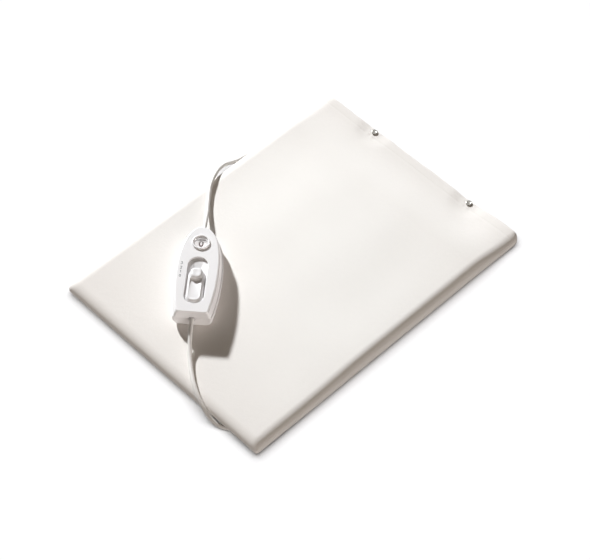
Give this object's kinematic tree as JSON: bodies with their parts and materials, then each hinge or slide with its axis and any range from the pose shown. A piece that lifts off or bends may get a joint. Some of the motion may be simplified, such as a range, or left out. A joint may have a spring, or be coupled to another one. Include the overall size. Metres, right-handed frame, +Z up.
{
  "type": "heating pad with controller",
  "caption": "Soft rectangular heating pad in a cloth cover with an open studded end and a corded slide controller with a level window.",
  "frame": {"origin": "middle of the pad's underside, on the surface that it lies on", "axes": "+X along the pad's long side to the open end of its cover, +Y to the side where the pad's cord comes in, +Z up"},
  "size_m": [0.4055, 0.3041, 0.0453],
  "materials": {
    "fleece": "napped",
    "felt": "matte",
    "white_plastic": "satin",
    "grey_plastic": "satin",
    "cord_plastic": "satin",
    "nickel": "polished",
    "brass": "plain",
    "clear_lens": "clear",
    "board": "matte",
    "heating_wire": "matte",
    "component_yellow": "matte",
    "component_black": "matte",
    "component_tan": "matte",
    "lamp_lens": "clear",
    "tie": "matte"
  },
  "bodies": {
    "pad": {"cover_upper_cloth": "fleece", "cover_lower_cloth": "fleece", "upper_felt_pad": "felt", "lower_felt_pad": "felt", "heating_wire": "heating_wire", "thermal_cutout_1": "nickel", "thermal_cutout_2": "nickel", "pad_junction": "white_plastic", "pad_cord_sleeve": "cord_plastic", "stud_cap_1": "nickel", "stud_cap_2": "nickel", "stud_socket_1": "nickel", "stud_socket_2": "nickel", "stud_ball_1": "nickel", "stud_ball_2": "nickel", "stud_rivet_1": "nickel", "stud_rivet_2": "nickel", "controller_upper_shell": "white_plastic", "controller_lower_shell": "white_plastic", "window_ring": "white_plastic", "window_lens": "clear_lens", "drum_axle": "nickel", "circuit_board": "board", "contact_track_1": "brass", "contact_track_2": "brass", "glass_fuse": "nickel", "capacitor": "component_yellow", "triac": "component_black", "resistor": "component_tan", "indicator_lamp": "lamp_lens", "housing_screw_1": "nickel", "housing_screw_2": "nickel", "housing_screw_3": "nickel", "housing_screw_4": "nickel", "mains_cord_clamp": "grey_plastic", "mains_clamp_screw_1": "nickel", "mains_clamp_screw_2": "nickel", "pad_cord_clamp": "grey_plastic", "pad_clamp_screw_1": "nickel", "pad_clamp_screw_2": "nickel", "mains_cord_bush": "grey_plastic", "pad_cord_bush": "grey_plastic", "mains_cord_run": "cord_plastic", "mains_cord_tail": "cord_plastic", "pad_cord": "cord_plastic", "mains_cord_hank": "cord_plastic", "hank_tie": "tie", "plug_body": "white_plastic", "plug_pin_1": "nickel", "plug_pin_2": "nickel"},
    "slide": {"slide_knob": "white_plastic", "slide_carrier": "grey_plastic", "contact_wiper": "brass", "detent_spring": "nickel"},
    "level_drum": {"level_drum": "white_plastic"}
  },
  "joints": [
    {"name": "level_slide", "type": "slide", "parent": "pad", "child": "slide", "axis": [0.7547, 0.6561, 0], "range_m": [0, 0.01508]},
    {"name": "drum_turn", "type": "hinge", "parent": "pad", "child": "level_drum", "pos_m": [-0.07141, 0.07235, 0.0297], "axis": [0.6561, -0.7547, 0], "range_deg": [0, 270]}
  ],
  "couplings": [
    {"joint": "drum_turn", "follows": "level_slide", "rad_per_m": 312.5}
  ]
}
